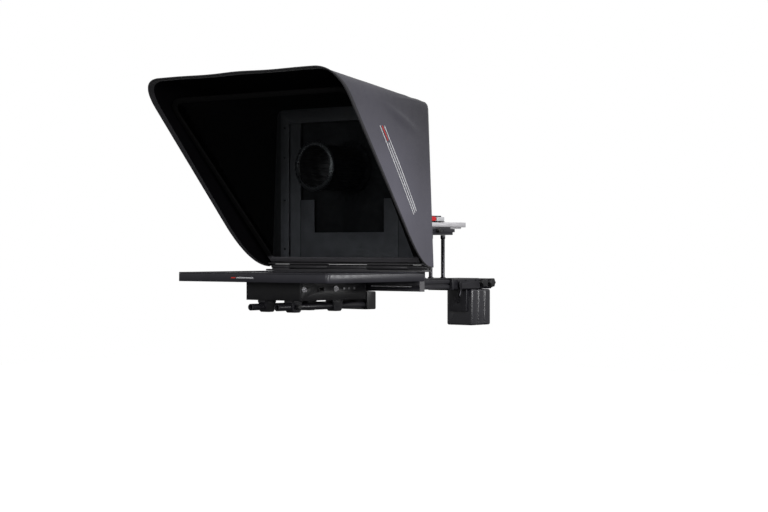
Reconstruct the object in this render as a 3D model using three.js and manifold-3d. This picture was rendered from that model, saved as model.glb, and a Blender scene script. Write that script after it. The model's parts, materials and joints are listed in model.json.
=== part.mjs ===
// Teleprompter for a studio camera: a face-up monitor under a hooded beam splitter,
// carried on two rods in front of a camera rail with a riser and counterweights.
//
// Millimetres. The origin is the centre of the rail's underside, where it sits on a
// support head. +Z is up, +Y runs back towards the camera, -Y faces the reader.

import * as THREE from "three";
import { mergeVertices } from "three/addons/utils/BufferGeometryUtils.js";
import Module from "manifold-3d";

const wasm = await Module();
wasm.setup();

// ---------------------------------------------------------------- driving dimensions

const gap = 0.3;            // running gap kept between neighbouring pieces
const round = 24;           // sides of a turned piece

const rail = { halfWidth: 40, height: 29, frontY: -222, rearY: 340, slot: 6, slotDepth: 5, nutHalf: 6 };
const railPad = { frontY: -120, rearY: 130, relief: 1 };    // the proud stretch of the underside
const rods = { x: 50, z: -38, radius: 9.5, bore: 7.5, frontY: -597, rearY: -181 };
const rodBlock = { halfWidth: 64, frontY: -221, rearY: -180, bottomZ: -52 };

const monitor = { halfWidth: 284.5, frontY: -652, rearY: -222, bottomZ: 33.3, topZ: 59.6, cornerRadius: 12 };
const bezel = { thickness: 3.2, border: 14, rearBorder: 44 };
const box = { halfWidth: 104, frontY: -558, rearY: -272, bottomZ: -19, wall: 2.5 };
const beam = { halfWidth: 284, frontY: -253, rearY: -232, bottomZ: 4 };

const hinge = { y: -232, z: 72.5, radius: 6.6, pinRadius: 2, halfLength: 299, inner: 76, outer: 228 };
const hoodRear = { y: -218, topZ: 548, bottomZ: 72.5, topHalf: 288, bottomHalf: 308, corner: 28 };
const hoodFront = { topY: -719, topZ: 608, topHalf: 370, corner: 80 };
const hoodThickness = 3;

const wall = { frontY: -229, thickness: 4, bottomZ: 86, panelHalf: 188, panelTopZ: 272 };
const notch = { halfWidth: 134, bottomZ: 174 };
const frame = { outerHalf: 262, innerHalf: 229, topZ: 539, innerTopZ: 503, thickness: 7 };
const lens = { z: 364, holeRadius: 62, ringInner: 60, ringOuter: 74, ringFrontY: -385, ringDepth: 7 };
const sock = { radius: 62.5, cloth: 1.5 };   // the cloth sleeve that holds the ring out over the lens
const glass = { footY: -249, footZ: 91, length: 603, footHalf: 286, headHalf: 350, corner: 60, thickness: 4 };
const glassSlope = 0.892;   // radians above the monitor's plane, about 51 degrees

const riser = { frontY: 84, rearY: 214, halfWidth: 36, footTopZ: 33, postX: 24, postRadius: 6, topZ: 192.7 };
const postRows = [99, 199];
const dovetail = { halfWidth: 25, depth: 5 };
const slidePlate = { halfWidth: 32, frontY: -20, rearY: 313, topZ: 208 };
const release = { halfWidth: 37, frontY: -10, rearY: 196, topZ: 228 };

const sleeve = { halfWidth: 46, bottomZ: -2.7, topZ: 32.3, frontY: 225, rearY: 363 };
const collar = { frontY: 215, grow: 2 };
const sleeveLever = { y: 254, z: 15 };
const bar = { halfWidth: 26, bottomZ: 1, topZ: 11, rearY: 462 };
const barClamps = [389, 432];
const barClamp = { halfWidth: 36, halfLength: 13, bottomZ: -2.7, topZ: 30, screwZ: 17 };
const slab = { halfWidth: 50, topZ: -3.2, bottomZ: -117, thickness: 33, corner: 6, edge: 5 };
const slabRow = { firstY: 317, pitch: 33.6, count: 3 };
const bolt = { z: -42, radius: 6 };

// ---------------------------------------------------------------- finishes

function finish(color, roughness, metalness) {
  return new THREE.MeshStandardMaterial({ color, roughness, metalness });
}

const blackMetal = () => finish(0x1b1b1d, 0.45, 0.6);
const charcoalMetal = () => finish(0x4b4b50, 0.5, 0.5);
const darkSteel = () => finish(0x2e2f33, 0.35, 0.9);
const silver = () => finish(0xb9babd, 0.35, 0.9);
const blackPlastic = () => finish(0x151516, 0.5, 0);
const redPlastic = () => finish(0xc81e1e, 0.4, 0);
const greyPlastic = () => finish(0xc9cacb, 0.5, 0);
const hoodFabric = () => finish(0x4a4a50, 0.85, 0);
const blackFabric = () => finish(0x0c0c0d, 0.95, 0);
const greyPanel = () => finish(0x35353a, 0.6, 0);
const darkGlass = () => finish(0x0a0b0d, 0.05, 0.1);
const clearGlass = () => finish(0x8c979a, 0.03, 0.1);
const boardGreen = () => finish(0x1d5a38, 0.6, 0);

// ---------------------------------------------------------------- shape helpers

const group = new THREE.Group();

function place(name, geometry, material, x = 0, y = 0, z = 0) {
  const mesh = new THREE.Mesh(geometry, material);
  mesh.name = name;
  mesh.position.set(x, y, z);
  group.add(mesh);
  return mesh;
}

function outline(points) {
  return new THREE.Shape(points.map(([x, y]) => new THREE.Vector2(x, y)));
}

function roundedRect(x0, y0, x1, y1, radius) {
  const shape = new THREE.Shape();
  shape.moveTo(x0 + radius, y0);
  shape.lineTo(x1 - radius, y0);
  shape.absarc(x1 - radius, y0 + radius, radius, -Math.PI / 2, 0, false);
  shape.lineTo(x1, y1 - radius);
  shape.absarc(x1 - radius, y1 - radius, radius, 0, Math.PI / 2, false);
  shape.lineTo(x0 + radius, y1);
  shape.absarc(x0 + radius, y1 - radius, radius, Math.PI / 2, Math.PI, false);
  shape.lineTo(x0, y0 + radius);
  shape.absarc(x0 + radius, y0 + radius, radius, Math.PI, 1.5 * Math.PI, false);
  return shape;
}

// Extrudes along Z between two heights, with a chamfer that keeps the outer size.
// More chamfer steps make the edge round.
function extrudeZ(shape, z0, z1, chamfer = 0, curveSegments = 4, chamferSteps = 1) {
  const geometry = new THREE.ExtrudeGeometry(shape, {
    depth: z1 - z0 - 2 * chamfer,
    bevelEnabled: chamfer > 0,
    bevelSize: chamfer,
    bevelThickness: chamfer,
    bevelOffset: -chamfer,
    bevelSegments: chamferSteps,
    curveSegments,
  });
  return geometry.translate(0, 0, z0 + chamfer);
}

// The outline is drawn in X and Z and runs from y0 to y1.
function extrudeY(shape, y0, y1, chamfer = 0, curveSegments = 4, chamferSteps = 1) {
  return extrudeZ(shape, -y1, -y0, chamfer, curveSegments, chamferSteps).rotateX(Math.PI / 2);
}

// The outline is drawn in Y and Z and runs from x0 to x1.
function extrudeX(shape, x0, x1, chamfer = 0, curveSegments = 4) {
  const turn = new THREE.Matrix4().makeBasis(
    new THREE.Vector3(0, 1, 0),
    new THREE.Vector3(0, 0, 1),
    new THREE.Vector3(1, 0, 0),
  );
  return extrudeZ(shape, x0, x1, chamfer, curveSegments).applyMatrix4(turn);
}

function cuboid(x0, x1, y0, y1, z0, z1) {
  const geometry = new THREE.BoxGeometry(x1 - x0, y1 - y0, z1 - z0);
  return geometry.translate((x0 + x1) / 2, (y0 + y1) / 2, (z0 + z1) / 2);
}

// A solid turned about Y (three's own lathe axis), from [radius, height] points.
function turned(points, sides = round) {
  return new THREE.LatheGeometry(points.map(([r, h]) => new THREE.Vector2(r, h)), sides);
}

function cylinderX(radius, x0, x1, y, z, sides = round) {
  const geometry = new THREE.CylinderGeometry(radius, radius, x1 - x0, sides);
  return geometry.rotateZ(Math.PI / 2).translate((x0 + x1) / 2, y, z);
}

function cylinderY(radius, y0, y1, x, z, sides = round) {
  return new THREE.CylinderGeometry(radius, radius, y1 - y0, sides).translate(x, (y0 + y1) / 2, z);
}

function toSolid(geometry) {
  const bare = geometry.index ? geometry.toNonIndexed() : geometry.clone();
  bare.deleteAttribute("normal");
  bare.deleteAttribute("uv");
  const merged = mergeVertices(bare, 1e-4);
  return new wasm.Manifold(new wasm.Mesh({
    numProp: 3,
    vertProperties: new Float32Array(merged.attributes.position.array),
    triVerts: new Uint32Array(merged.index.array),
  }));
}

function toGeometry(solid) {
  const mesh = solid.getMesh();
  const geometry = new THREE.BufferGeometry();
  geometry.setAttribute("position", new THREE.BufferAttribute(new Float32Array(mesh.vertProperties), 3));
  geometry.setIndex(new THREE.BufferAttribute(new Uint32Array(mesh.triVerts), 1));
  geometry.computeVertexNormals();
  return geometry;
}

function join(first, ...others) {
  return toGeometry(others.reduce((solid, other) => solid.add(toSolid(other)), toSolid(first)));
}

function cut(first, ...others) {
  return toGeometry(others.reduce((solid, other) => solid.subtract(toSolid(other)), toSolid(first)));
}

// A closed skin between an outer surface point(u, v) and the same surface moved inwards.
function skin(point, uSteps, vSteps, thickness) {
  const delta = 1e-3;
  const outer = [];
  const inner = [];
  for (let i = 0; i <= uSteps; i += 1) {
    for (let j = 0; j <= vSteps; j += 1) {
      const u = i / uSteps;
      const v = j / vSteps;
      const du = u < 0.5 ? delta : -delta;
      const dv = v < 0.5 ? delta : -delta;
      const here = point(u, v);
      const alongU = point(u + du, v).sub(here).divideScalar(du);
      const alongV = point(u, v + dv).sub(here).divideScalar(dv);
      const normal = alongU.cross(alongV).normalize();
      outer.push(here);
      inner.push(here.clone().addScaledVector(normal, -thickness));
    }
  }
  const columns = vSteps + 1;
  const offset = outer.length;
  const triangles = [];
  const quad = (a, b, c, d) => triangles.push(a, b, c, a, c, d);
  for (let i = 0; i < uSteps; i += 1) {
    for (let j = 0; j < vSteps; j += 1) {
      const a = i * columns + j;
      const b = a + columns;
      quad(a, b, b + 1, a + 1);
      quad(offset + a, offset + a + 1, offset + b + 1, offset + b);
    }
  }
  for (let i = 0; i < uSteps; i += 1) {
    const a = i * columns;
    const b = a + columns;
    quad(a, offset + a, offset + b, b);
    quad(a + vSteps, b + vSteps, offset + b + vSteps, offset + a + vSteps);
  }
  const last = uSteps * columns;
  for (let j = 0; j < vSteps; j += 1) {
    quad(j, j + 1, offset + j + 1, offset + j);
    quad(last + j, offset + last + j, offset + last + j + 1, last + j + 1);
  }
  const geometry = new THREE.BufferGeometry();
  const places = [...outer, ...inner].flatMap((p) => [p.x, p.y, p.z]);
  geometry.setAttribute("position", new THREE.BufferAttribute(new Float32Array(places), 3));
  geometry.setIndex(triangles);
  geometry.computeVertexNormals();
  return geometry;
}

function mirrorX(geometry) {
  const flat = geometry.index ? geometry.toNonIndexed() : geometry.clone();
  const mirrored = flat.scale(-1, 1, 1);
  const places = mirrored.attributes.position;
  for (let i = 0; i < places.count; i += 3) {
    const second = [places.getX(i + 1), places.getY(i + 1), places.getZ(i + 1)];
    places.setXYZ(i + 1, places.getX(i + 2), places.getY(i + 2), places.getZ(i + 2));
    places.setXYZ(i + 2, ...second);
  }
  mirrored.computeVertexNormals();
  return mirrored;
}

// A hand knob with six lobes and a stud, built along +X from the origin.
function knob(radius, length, studRadius, studLength) {
  const lobes = 6;
  const steps = 36;
  const points = [];
  for (let i = 0; i < steps; i += 1) {
    const angle = (2 * Math.PI * i) / steps;
    const reach = radius * (1 - 0.09 * (1 - Math.cos(lobes * angle)));
    points.push([reach * Math.cos(angle), reach * Math.sin(angle)]);
  }
  const head = extrudeX(outline(points), 0, length, 1.5);
  return join(head, cylinderX(studRadius, -studLength, 1, 0, 0, 16));
}

// ---------------------------------------------------------------- rail and front rods

function railProfile() {
  const { halfWidth, height, slot, slotDepth, nutHalf } = rail;
  const middle = height / 2;
  const right = [
    [halfWidth, 0],
    [halfWidth, middle - slot / 2],
    [halfWidth - slotDepth, middle - slot / 2],
    [halfWidth - slotDepth, middle + slot / 2],
    [halfWidth, middle + slot / 2],
    [halfWidth, height],
    [nutHalf, height],
    [nutHalf, height - slot],
  ];
  const left = right.map(([x, z]) => [-x, z]).reverse();
  return outline([...right, ...left]);
}

function buildRail() {
  const reliefs = [[rail.frontY - 1, railPad.frontY], [railPad.rearY, rail.rearY + 1]].map(([y0, y1]) => (
    cuboid(-rail.halfWidth - 1, rail.halfWidth + 1, y0, y1, -1, railPad.relief)));
  place("main_rail", cut(extrudeY(railProfile(), rail.frontY, rail.rearY), ...reliefs), blackMetal());
  const { halfWidth, frontY, rearY, bottomZ } = rodBlock;
  const body = extrudeY(roundedRect(-halfWidth, bottomZ, halfWidth, railPad.relief - gap, 4), frontY, rearY);
  const bores = [-rods.x, rods.x].map((x) => (
    cylinderY(rods.radius + gap, frontY - 1, rods.rearY + gap, x, rods.z)));
  place("rod_block", cut(body, ...bores), blackMetal());
  for (const [name, x] of [["front_rod_left", -rods.x], ["front_rod_right", rods.x]]) {
    const solid = cylinderY(rods.radius, rods.frontY, rods.rearY, 0, 0);
    const bore = cylinderY(rods.bore, rods.frontY - 1, rods.rearY - 6, 0, 0);
    place(name, cut(solid, bore), blackMetal(), x, 0, rods.z);
  }
}

// ---------------------------------------------------------------- monitor and its box

function buildMonitor() {
  const { halfWidth, frontY, rearY, bottomZ, topZ, cornerRadius } = monitor;
  const seamZ = topZ - bezel.thickness;
  const footprint = roundedRect(-halfWidth, frontY, halfWidth, rearY, cornerRadius);
  const shellWall = 3;
  const panelThickness = 9;
  const ledgeWidth = 15;
  const ledgeZ = seamZ - panelThickness - 2 * gap;
  const insetRect = (inset) => roundedRect(-halfWidth + inset, frontY + inset, halfWidth - inset,
    rearY - inset, Math.max(cornerRadius - inset, 2));
  const hollow = (inset, floorZ) => extrudeZ(insetRect(inset), floorZ, topZ);
  const tray = extrudeZ(footprint, bottomZ, seamZ - gap);
  const hollows = [hollow(shellWall, ledgeZ), hollow(shellWall + ledgeWidth, bottomZ + shellWall)];
  place("monitor_shell", cut(tray, ...hollows), charcoalMetal());

  const window = cuboid(-halfWidth + bezel.border, halfWidth - bezel.border,
    frontY + bezel.border, rearY - bezel.rearBorder, bottomZ, topZ + 1);
  place("monitor_bezel", cut(extrudeZ(footprint, seamZ, topZ, 0.8), window), charcoalMetal());

  const panel = extrudeZ(insetRect(shellWall + gap), seamZ - gap - panelThickness, seamZ - gap);
  place("lcd_panel", panel, darkGlass());
}

const sidePorts = { z: 13, coaxial: [-546, -410], power: -473, buttons: [-372, -350, -328] };
const powerHalf = { y: 12, z: 7 };
const coaxialRadius = 5;
const buttonRadius = 3.2;

function buildElectronicsBox() {
  const { halfWidth, frontY, rearY, bottomZ, wall: thickness } = box;
  const topZ = monitor.bottomZ - gap;
  const body = extrudeZ(roundedRect(-halfWidth, frontY, halfWidth, rearY, 4), bottomZ, topZ);
  const cavity = cuboid(-halfWidth + thickness, halfWidth - thickness, frontY + thickness,
    rearY - thickness, bottomZ + thickness, topZ + 1);
  const through = [halfWidth - thickness - 1, halfWidth + 1];
  const holes = sidePorts.coaxial.map((y) => cylinderX(coaxialRadius + gap, ...through, y, sidePorts.z, 16));
  holes.push(cuboid(...through, sidePorts.power - powerHalf.y - gap, sidePorts.power + powerHalf.y + gap,
    sidePorts.z - powerHalf.z - gap, sidePorts.z + powerHalf.z + gap));
  holes.push(...sidePorts.buttons.map((y) => cylinderX(buttonRadius + gap, ...through, y, sidePorts.z, 16)));
  place("electronics_box", cut(body, cavity, ...holes), blackMetal());

  const board = cuboid(-84, 84, frontY + 14, rearY - 14, 12, 14);
  const chips = [[-50, -470, 18], [10, -430, 24], [-20, -350, 14]].map(([x, y, size]) => (
    cuboid(x - size, x + size, y - size, y + size, 13, 18)));
  place("controller_board", join(board, ...chips), boardGreen());

  sidePorts.coaxial.forEach((y, index) => {
    const flangeX = halfWidth + gap;
    const flange = cylinderX(8, flangeX, flangeX + 2, 0, 0);
    const barrel = cylinderX(coaxialRadius, flangeX - 12, flangeX + 8, 0, 0, 16);
    const socket = cylinderX(3.6, flangeX + 2, flangeX + 9, 0, 0, 12);
    place(`sdi_connector_${index + 1}`, cut(join(flange, barrel), socket), silver(), 0, y, sidePorts.z);
  });

  const lip = 2.5;
  const shell = cuboid(halfWidth - 16, halfWidth + 3, -powerHalf.y, powerHalf.y, -powerHalf.z, powerHalf.z);
  const mouth = cuboid(halfWidth - 12, halfWidth + 4, lip - powerHalf.y, powerHalf.y - lip,
    lip - powerHalf.z, powerHalf.z - lip);
  place("power_socket", cut(shell, mouth), blackPlastic(), 0, sidePorts.power, sidePorts.z);

  sidePorts.buttons.forEach((y, index) => {
    const stem = [[0, 0], [buttonRadius, 0], [buttonRadius, 8.4], [buttonRadius - 0.8, 9.2], [0, 9.2]];
    const button = turned(stem, 16).rotateZ(-Math.PI / 2);
    place(`menu_button_${index + 1}`, button, greyPlastic(), halfWidth - 7, y, sidePorts.z);
  });
}

const clampRows = { front: -528, rear: -351 };

function clampProfile() {
  const topZ = box.bottomZ - gap;
  const right = [[23, topZ], [23, topZ - 5], [19, topZ - 10], [18, -44], [15, -50], [10, -53]];
  const left = right.map(([y, z]) => [-y, z]).reverse();
  return outline([...left, ...right].reverse());
}

function buildRodClamps() {
  const halfWidth = 14;
  const knobZ = rods.z;
  const studRadius = 3;
  const studLength = halfWidth - rods.radius - gap;
  for (const [row, y] of Object.entries(clampRows)) {
    for (const [side, x] of [["left", -rods.x], ["right", rods.x]]) {
      const body = extrudeX(clampProfile(), -halfWidth, halfWidth);
      const bore = cylinderY(rods.radius + gap, -40, 40, 0, rods.z);
      const sign = Math.sign(x);
      const [x0, x1] = sign > 0 ? [0, halfWidth + 1] : [-halfWidth - 1, 0];
      const screwHole = cylinderX(studRadius + gap, x0, x1, 0, knobZ, 16);
      const pieces = row === "front" ? [bore, screwHole] : [bore];
      place(`rod_clamp_${row}_${side}`, cut(body, ...pieces), blackMetal(), x, y, 0);
    }
  }
  for (const [side, sign] of [["left", -1], ["right", 1]]) {
    const screw = knob(8, 12, studRadius, studLength);
    const mesh = place(`clamp_knob_${side}`, screw, blackPlastic(),
      sign * (rods.x + halfWidth + gap), clampRows.front, knobZ);
    mesh.rotation.z = sign > 0 ? 0 : Math.PI;
  }
}

function buildCrossBeam() {
  const { halfWidth, frontY, rearY, bottomZ } = beam;
  const topZ = monitor.bottomZ - gap;
  const body = extrudeX(roundedRect(frontY, bottomZ, rearY, topZ, 1.5), -halfWidth, halfWidth, 0, 2);
  const groove = cuboid(-halfWidth - 1, halfWidth + 1, frontY - 1, frontY + 4, 15, 21);
  place("cross_beam", cut(body, groove), blackMetal());
}

// ---------------------------------------------------------------- hinge

const knuckleGap = 0.3;

function knuckles(spans) {
  return spans.map(([x0, x1]) => (
    cylinderX(hinge.radius, x0 + knuckleGap, x1 - knuckleGap, hinge.y, hinge.z)));
}

function webs(spans, z0, z1) {
  return spans.map(([x0, x1]) => (
    cuboid(x0 + knuckleGap, x1 - knuckleGap, hinge.y - 3, hinge.y + 3, z0, z1)));
}

function buildHinge() {
  const { inner, outer, halfLength, pinRadius } = hinge;
  const pinHole = cylinderX(pinRadius + gap, -halfLength - 1, halfLength + 1, hinge.y, hinge.z, 12);
  const fixedSpans = [[-halfLength, -outer], [-inner, inner], [outer, halfLength]];
  const movingSpans = [[-outer, -inner], [inner, outer]];

  const leafTopZ = 64.6;
  const leaf = cuboid(-halfLength, halfLength, -262, -218, monitor.topZ + gap, leafTopZ);
  const fixedBarrels = [...knuckles(fixedSpans), ...webs(fixedSpans, leafTopZ - 1, hinge.z)];
  place("hinge_base", cut(join(leaf, ...fixedBarrels), pinHole), charcoalMetal());

  const sillZ = [80.2, 83.4];
  const sill = cuboid(-halfLength, halfLength, -252, -224, ...sillZ);
  const movingBarrels = [...knuckles(movingSpans), ...webs(movingSpans, hinge.z, sillZ[0] + 1)];
  place("hood_sill", cut(join(sill, ...movingBarrels), pinHole), charcoalMetal());

  const pin = cylinderX(pinRadius, -halfLength + 0.5, halfLength - 0.5, hinge.y, hinge.z, 12);
  place("hinge_pin", pin, darkSteel());
}

// ---------------------------------------------------------------- hood

// Right half of the hood's two rims. Each takes 0 at the foot and 1 at the corner's end.
const foot = new THREE.QuadraticBezierCurve3(
  new THREE.Vector3(309, -234, 73.5),
  new THREE.Vector3(327, -300, 76),
  new THREE.Vector3(339, -392, 193),
);
const cornerStart = new THREE.Vector3(364, -656, hoodFront.topZ - hoodFront.corner);
const frontCorner = new THREE.QuadraticBezierCurve3(
  cornerStart,
  new THREE.Vector3(hoodFront.topHalf, hoodFront.topY, hoodFront.topZ),
  new THREE.Vector3(hoodFront.topHalf - hoodFront.corner, hoodFront.topY, hoodFront.topZ),
);
const rearSide = new THREE.LineCurve3(
  new THREE.Vector3(hoodRear.bottomHalf, hoodRear.y, hoodRear.bottomZ),
  new THREE.Vector3(hoodRear.topHalf + 1, hoodRear.y, hoodRear.topZ - hoodRear.corner),
);
const rearCorner = new THREE.QuadraticBezierCurve3(
  rearSide.v2,
  new THREE.Vector3(hoodRear.topHalf, hoodRear.y, hoodRear.topZ),
  new THREE.Vector3(hoodRear.topHalf - hoodRear.corner, hoodRear.y, hoodRear.topZ),
);
const footShare = 0.35;
const sideShare = 0.7;

function frontRim(t) {
  if (t <= footShare) {
    return foot.getPoint(t / footShare);
  }
  if (t <= sideShare) {
    const along = (t - footShare) / (sideShare - footShare);
    return foot.v2.clone().lerp(cornerStart, along);
  }
  return frontCorner.getPoint((t - sideShare) / (1 - sideShare));
}

function rearRim(t) {
  if (t <= sideShare) {
    return rearSide.getPoint(t / sideShare);
  }
  return rearCorner.getPoint((t - sideShare) / (1 - sideShare));
}

function hoodSide(u, v) {
  return rearRim(v).lerp(frontRim(v), u);
}

function hoodTop(u, v) {
  const across = 1 - 2 * v;
  const rearX = (hoodRear.topHalf - hoodRear.corner - gap) * across;
  const frontX = (hoodFront.topHalf - hoodFront.corner - gap) * across;
  const rear = new THREE.Vector3(rearX, hoodRear.y, hoodRear.topZ);
  const front = new THREE.Vector3(frontX, hoodFront.topY, hoodFront.topZ);
  return rear.lerp(front, u);
}

function buildHoodSkins() {
  const side = skin((u, v) => hoodSide(1 - u, v), 3, 20, hoodThickness);
  place("hood_side_right", side, hoodFabric());
  place("hood_side_left", mirrorX(side), hoodFabric());
  place("hood_top", skin((u, v) => hoodTop(1 - u, v), 3, 4, hoodThickness), hoodFabric());
}

function buildRearWall() {
  const { frontY, thickness, bottomZ, panelHalf, panelTopZ } = wall;
  const rearY = frontY + thickness;
  const lowerPanel = outline([
    [-panelHalf, bottomZ], [panelHalf, bottomZ], [panelHalf, panelTopZ],
    [notch.halfWidth, panelTopZ], [notch.halfWidth, notch.bottomZ],
    [-notch.halfWidth, notch.bottomZ], [-notch.halfWidth, panelTopZ], [-panelHalf, panelTopZ],
  ]);
  place("rear_panel", extrudeY(lowerPanel, frontY, rearY), greyPanel());

  const inset = 5;
  const wingInner = panelHalf + gap;
  const topZ = hoodRear.topZ - inset;
  const wing = outline([
    [wingInner, bottomZ],
    [hoodRear.bottomHalf - inset, bottomZ],
    [hoodRear.topHalf - inset, hoodRear.topZ - hoodRear.corner],
    [hoodRear.topHalf - inset - hoodRear.corner / 4, topZ - hoodRear.corner / 4],
    [hoodRear.topHalf - hoodRear.corner, topZ],
    [wingInner, topZ],
  ]);
  const right = extrudeY(wing, frontY, rearY);
  place("rear_wing_right", right, greyPanel());
  place("rear_wing_left", mirrorX(right), greyPanel());

  const bars = outline([
    [-frame.outerHalf, bottomZ], [-frame.innerHalf, bottomZ], [-frame.innerHalf, frame.innerTopZ],
    [frame.innerHalf, frame.innerTopZ], [frame.innerHalf, bottomZ], [frame.outerHalf, bottomZ],
    [frame.outerHalf, frame.topZ], [-frame.outerHalf, frame.topZ],
  ]);
  place("wall_frame", extrudeY(bars, frontY - gap - frame.thickness, frontY - gap), greyPanel());

  const curtainY = [rearY + gap, rearY + 6];
  const cloth = extrudeY(roundedRect(-203, 160, 203, 512, 10), ...curtainY, 0, 2);
  const hole = cylinderY(lens.holeRadius, curtainY[0] - 1, curtainY[1] + 1, 0, lens.z, 32);
  place("lens_curtain", cut(cloth, hole), blackFabric());

  const { ringInner, ringOuter, ringFrontY, ringDepth } = lens;
  const ringRearY = ringFrontY + ringDepth;
  const sockLength = rearY - ringRearY - gap;
  const outerRadius = sock.radius + sock.cloth;
  const tube = [
    [sock.radius, 0], [outerRadius, 0], [outerRadius, sockLength],
    [sock.radius, sockLength], [sock.radius, 0],
  ];
  place("camera_sock", turned(tube, 32), blackFabric(), 0, ringRearY + gap, lens.z);

  const section = [
    [ringInner, 0], [ringOuter, 0], [ringOuter, 4], [ringOuter - 5, ringDepth], [ringInner, ringDepth],
    [ringInner, 0],
  ];
  place("lens_ring", turned(section, 40).rotateX(Math.PI), blackPlastic(), 0, ringRearY, lens.z);
}

// Outline in the glass's own plane: X across, and the slope upwards from its foot.
function glassOutline(inset) {
  const { footHalf, headHalf, length, corner } = glass;
  const radius = corner - inset;
  const low = footHalf - inset;
  const high = headHalf - inset;
  const top = length - inset;
  const lean = (high - low) / top;
  const shape = new THREE.Shape();
  shape.moveTo(-low, inset);
  shape.lineTo(low, inset);
  shape.lineTo(high - lean * radius, top - radius);
  shape.quadraticCurveTo(high, top, high - radius, top);
  shape.lineTo(-high + radius, top);
  shape.quadraticCurveTo(-high, top, -high + lean * radius, top - radius);
  return shape;
}

function buildGlass() {
  const barWidth = 14;
  const barDepth = 6;
  const turn = new THREE.Matrix4().makeBasis(
    new THREE.Vector3(1, 0, 0),
    new THREE.Vector3(0, -Math.cos(glassSlope), Math.sin(glassSlope)),
    new THREE.Vector3(0, -Math.sin(glassSlope), -Math.cos(glassSlope)),
  );
  turn.setPosition(0, glass.footY, glass.footZ);
  const outer = extrudeZ(glassOutline(0), gap, gap + barDepth, 0, 6);
  const window = extrudeZ(glassOutline(barWidth), -1, gap + barDepth + 1, 0, 6);
  place("glass_frame", cut(outer, window).applyMatrix4(turn), blackMetal());
  const pane = extrudeZ(glassOutline(barWidth / 2), -glass.thickness, 0, 0, 6);
  place("beam_splitter_glass", pane.applyMatrix4(turn), clearGlass());
}

// ---------------------------------------------------------------- camera riser

function buildRiser() {
  const { frontY, rearY, halfWidth, footTopZ, postX, postRadius, topZ } = riser;
  const footZ = rail.height + gap;
  const plate = extrudeZ(roundedRect(-halfWidth, frontY, halfWidth, rearY, 5), footZ, footTopZ);
  const tongue = cuboid(-rail.nutHalf + gap, rail.nutHalf - gap, frontY + 4, rearY - 4,
    rail.height - rail.slot + gap, footZ + 1);
  place("riser_foot", join(plate, tongue), blackMetal());

  const headZ = 168;
  const postLength = headZ - footTopZ - 2 * gap;
  const post = [
    [0, 0], [9, 0], [9, 3], [postRadius, 4], [postRadius, postLength - 12],
    [postRadius + 1.5, postLength - 11], [postRadius + 1.5, postLength], [0, postLength],
  ];
  postRows.forEach((y, row) => {
    for (const [side, x] of [["left", -postX], ["right", postX]]) {
      const name = `riser_post_${row === 0 ? "front" : "rear"}_${side}`;
      place(name, turned(post, 16).rotateX(Math.PI / 2), darkSteel(), x, y, footTopZ + gap);
    }
  });

  const lower = cuboid(-38, 38, frontY, rearY + 18, headZ + gap, 178);
  const middle = cuboid(-40, 40, frontY - 4, rearY + 26, 177, 187);
  const upper = cuboid(-38, 38, frontY - 2, rearY + 6, 186, topZ);
  const groove = cuboid(-dovetail.halfWidth - gap, dovetail.halfWidth + gap, frontY - 20, rearY + 40,
    topZ - dovetail.depth, topZ + 1);
  const knobHole = cylinderX(3 + gap, 20, 41, 150, 182, 16);
  place("riser_top_plate", cut(join(lower, middle, upper), groove, knobHole), charcoalMetal());
  place("guide_knob", knob(8, 12, 3, 12), blackPlastic(), 40 + gap, 150, 182);
}

function buildCameraPlate() {
  const { halfWidth, frontY, rearY, topZ } = slidePlate;
  const bottomZ = riser.topZ + gap;
  const plate = extrudeZ(roundedRect(-halfWidth, frontY, halfWidth, rearY, 8), bottomZ, topZ, 1);
  const tongue = cuboid(-dovetail.halfWidth, dovetail.halfWidth, frontY + 20, rearY - 20,
    riser.topZ - dovetail.depth + gap, bottomZ + 3);
  place("camera_plate", join(plate, tongue), silver());

  const baseZ = topZ + gap;
  const base = extrudeZ(roundedRect(-release.halfWidth, release.frontY, release.halfWidth, release.rearY, 6),
    baseZ, release.topZ, 1.5);
  const pocket = cuboid(20, 60, 108, 200, baseZ + 2, release.topZ + 1);
  const pivotHole = cylinderX(3 + gap, 5, 21, 120, 218, 16);
  place("quick_release_base", cut(base, pocket, pivotHole), blackMetal());
  place("release_catch", extrudeZ(roundedRect(20.5, 154, 36.5, 192, 3), baseZ + 2 + gap, release.topZ - 4, 1),
    greyPlastic());

  const arm = extrudeX(roundedRect(-7, -7, 30, 7, 6.9), -7, 7, 1);
  const pivot = cylinderX(3, -20, -6, 0, 0, 16);
  place("release_lever", join(arm, pivot), redPlastic(), 29, 120, 218);
}

// ---------------------------------------------------------------- counterweights

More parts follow.
